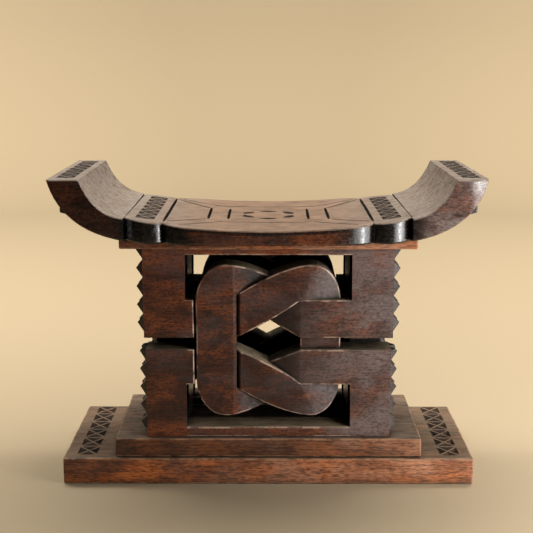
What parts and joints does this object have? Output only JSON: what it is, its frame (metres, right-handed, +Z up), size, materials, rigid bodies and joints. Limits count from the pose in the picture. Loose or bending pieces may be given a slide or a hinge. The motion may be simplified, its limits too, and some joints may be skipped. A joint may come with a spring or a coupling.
{
  "type": "carved stool",
  "caption": "Carved wooden stool: dished seat with upswept wings on a double panel pierced as a reef knot, over a stepped plinth.",
  "frame": {"origin": "centre of the underside of the base plate, under the middle of the seat", "axes": "+X along the seat to the right-hand wing, -Y to the front, +Z up"},
  "size_m": [0.506, 0.247, 0.375],
  "materials": {
    "plinth_wood": "oiled, worn, with reddish grain",
    "support_wood": "oiled, dark brown with bluish sheen",
    "dark_wood": "nearly black, polished",
    "seat_wood": "worn satin, dusty on top and black on the edge"
  },
  "bodies": {
    "root": {"base_plate": "plinth_wood", "base_step": "plinth_wood", "front_sill": "plinth_wood", "back_sill": "plinth_wood", "front_top_rail": "support_wood", "back_top_rail": "support_wood", "front_left_lower_post": "support_wood", "front_right_lower_post": "support_wood", "front_left_upper_post": "support_wood", "front_right_upper_post": "support_wood", "back_left_lower_post": "support_wood", "back_right_lower_post": "support_wood", "back_left_upper_post": "support_wood", "back_right_upper_post": "support_wood", "left_end_wall": "dark_wood", "right_end_wall": "dark_wood", "front_left_loop": "support_wood", "front_right_loop": "support_wood", "back_left_loop": "support_wood", "back_right_loop": "support_wood", "left_lower_studs": "dark_wood", "right_lower_studs": "dark_wood", "left_upper_studs": "dark_wood", "right_upper_studs": "dark_wood", "seat_bearer": "seat_wood", "left_wing_rib": "dark_wood", "right_wing_rib": "dark_wood", "seat_board": "seat_wood"}
  },
  "joints": []
}
